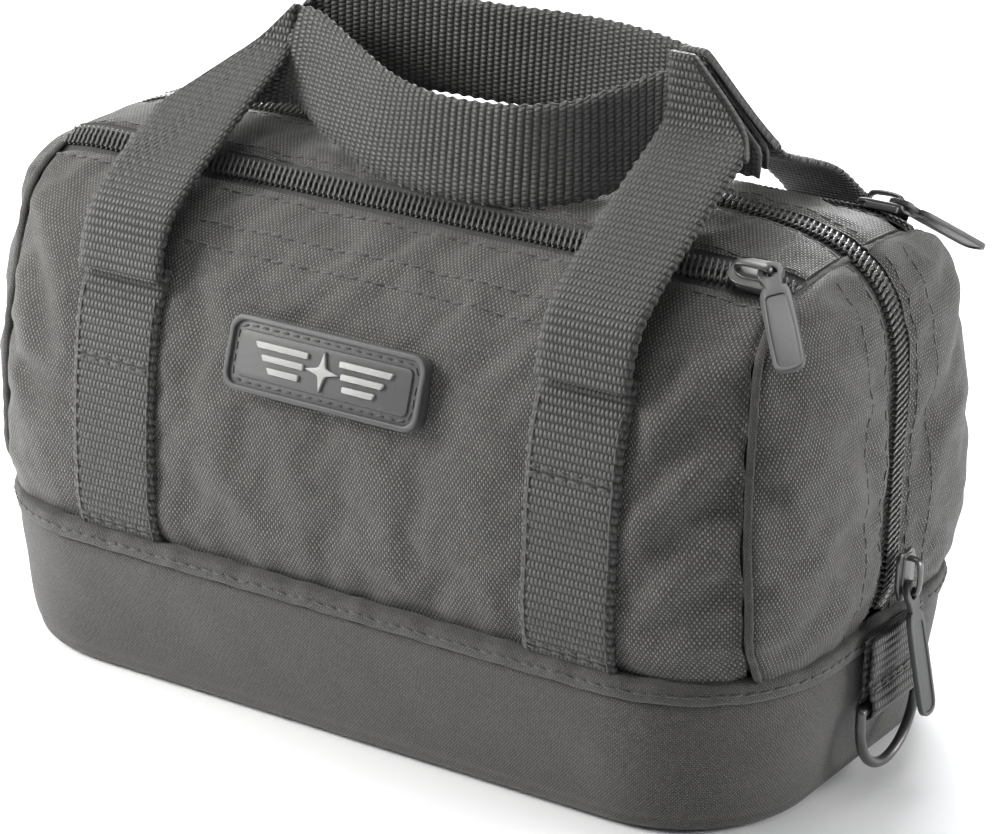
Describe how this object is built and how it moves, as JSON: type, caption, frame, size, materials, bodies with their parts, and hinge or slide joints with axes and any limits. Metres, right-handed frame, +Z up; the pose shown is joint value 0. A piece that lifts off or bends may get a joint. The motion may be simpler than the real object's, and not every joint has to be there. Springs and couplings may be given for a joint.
{
  "type": "soft carrying case",
  "caption": "Small soft zippered carrying case with padded base, two webbing handles, two zipped pockets and an end ring for a strap.",
  "frame": {"origin": "centre of the flat underside of the padded base, on the surface it stands on", "axes": "+X along the case towards the end where the zip sliders rest, -Y towards the front with the badge, +Z up"},
  "size_m": [0.2582, 0.137, 0.1736],
  "materials": {
    "body_fabric": "coarse woven nylon, matt",
    "base_fabric": "fine woven nylon over foam, matt",
    "binding": "folded woven edge binding, stitched",
    "webbing": "ribbed woven webbing",
    "lining": "smooth lining cloth",
    "foam": "cloth-faced foam",
    "board": "stiffening board",
    "zip_coil": "nylon coil, satin",
    "zip_tape": "twill zip tape",
    "slider_metal": "dark plated, polished",
    "pull_metal": "grey painted, satin",
    "ring_metal": "grey painted, satin",
    "badge_rubber": "moulded rubber, satin"
  },
  "bodies": {
    "base": {"base_cover": "base_fabric", "base_board": "board", "base_foam_wall": "foam", "base_floor_pad": "lining", "base_binding": "binding", "ring_tab_right": "webbing", "ring_tab_left": "webbing"},
    "front_half": {"front_panel": "body_fabric", "front_top_strip": "body_fabric", "front_lining_wall": "lining", "front_end_panel_right": "body_fabric", "front_seam_ridge_right": "binding", "front_leg_right": "webbing", "front_end_panel_left": "body_fabric", "front_seam_ridge_left": "binding", "front_leg_left": "webbing", "main_zip_row_front": "zip_coil", "main_zip_tape_front": "zip_tape", "front_zip_chain": "zip_coil", "front_zip_tape": "zip_tape", "front_badge": "badge_rubber"},
    "rear_half": {"rear_panel": "body_fabric", "rear_top_strip": "body_fabric", "rear_lining_wall": "lining", "rear_end_panel_right": "body_fabric", "rear_seam_ridge_right": "binding", "rear_leg_right": "webbing", "rear_end_panel_left": "body_fabric", "rear_seam_ridge_left": "binding", "rear_leg_left": "webbing", "main_zip_row_rear": "zip_coil", "main_zip_tape_rear": "zip_tape", "rear_zip_chain": "zip_coil", "rear_zip_tape": "zip_tape"},
    "front_handle": {"front_handle": "webbing"},
    "rear_handle": {"rear_handle": "webbing"},
    "front_slider": {"front_zip_slider": "slider_metal"},
    "front_pull": {"front_zip_pull": "pull_metal"},
    "rear_slider": {"rear_zip_slider": "slider_metal"},
    "rear_pull": {"rear_zip_pull": "pull_metal"},
    "main_slider": {"main_zip_slider": "slider_metal"},
    "main_pull": {"main_zip_pull": "pull_metal"},
    "ring_right": {"d_ring_right": "ring_metal"},
    "ring_left": {"d_ring_left": "ring_metal"}
  },
  "joints": [
    {"name": "front_half_opens", "type": "hinge", "parent": "base", "child": "front_half", "pos_m": [0, -0.0688, 0.042], "axis": [1, 0, 0], "range_deg": [0, 25]},
    {"name": "rear_half_opens", "type": "hinge", "parent": "base", "child": "rear_half", "pos_m": [0, 0.0688, 0.042], "axis": [-1, 0, 0], "range_deg": [0, 25]},
    {"name": "front_handle_flops", "type": "hinge", "parent": "front_half", "child": "front_handle", "pos_m": [0, -0.06, 0.1134], "axis": [1, 0, 0], "range_deg": [0, 150]},
    {"name": "rear_handle_flops", "type": "hinge", "parent": "rear_half", "child": "rear_handle", "pos_m": [0, 0.06, 0.1134], "axis": [-1, 0, 0], "range_deg": [0, 150]},
    {"name": "front_zip_runs", "type": "slide", "parent": "front_half", "child": "front_slider", "axis": [-1, 0, 0], "range_m": [0, 0.19]},
    {"name": "front_pull_swings", "type": "hinge", "parent": "front_slider", "child": "front_pull", "pos_m": [0.1014, -0.03243, 0.13479], "axis": [0, -0.5299, 0.848], "range_deg": [-80, 45]},
    {"name": "rear_zip_runs", "type": "slide", "parent": "rear_half", "child": "rear_slider", "axis": [-1, 0, 0], "range_m": [0, 0.19]},
    {"name": "rear_pull_swings", "type": "hinge", "parent": "rear_slider", "child": "rear_pull", "pos_m": [0.1014, 0.03243, 0.13479], "axis": [0, -0.5299, -0.848], "range_deg": [-63, 62]},
    {"name": "main_zip_runs", "type": "slide", "parent": "front_half", "child": "main_slider", "axis": [0, 0, 1], "range_m": [0, 0.042]},
    {"name": "main_pull_swings", "type": "hinge", "parent": "main_slider", "child": "main_pull", "pos_m": [0.1262, 0, 0.0506], "axis": [1, 0, 0], "range_deg": [-60, 60]},
    {"name": "right_ring_swings", "type": "hinge", "parent": "base", "child": "ring_right", "pos_m": [0.12195, 0, 0.0232], "axis": [0, -1, 0], "range_deg": [0, 115]},
    {"name": "left_ring_swings", "type": "hinge", "parent": "base", "child": "ring_left", "pos_m": [-0.12195, 0, 0.0232], "axis": [0, 1, 0], "range_deg": [0, 115]}
  ]
}
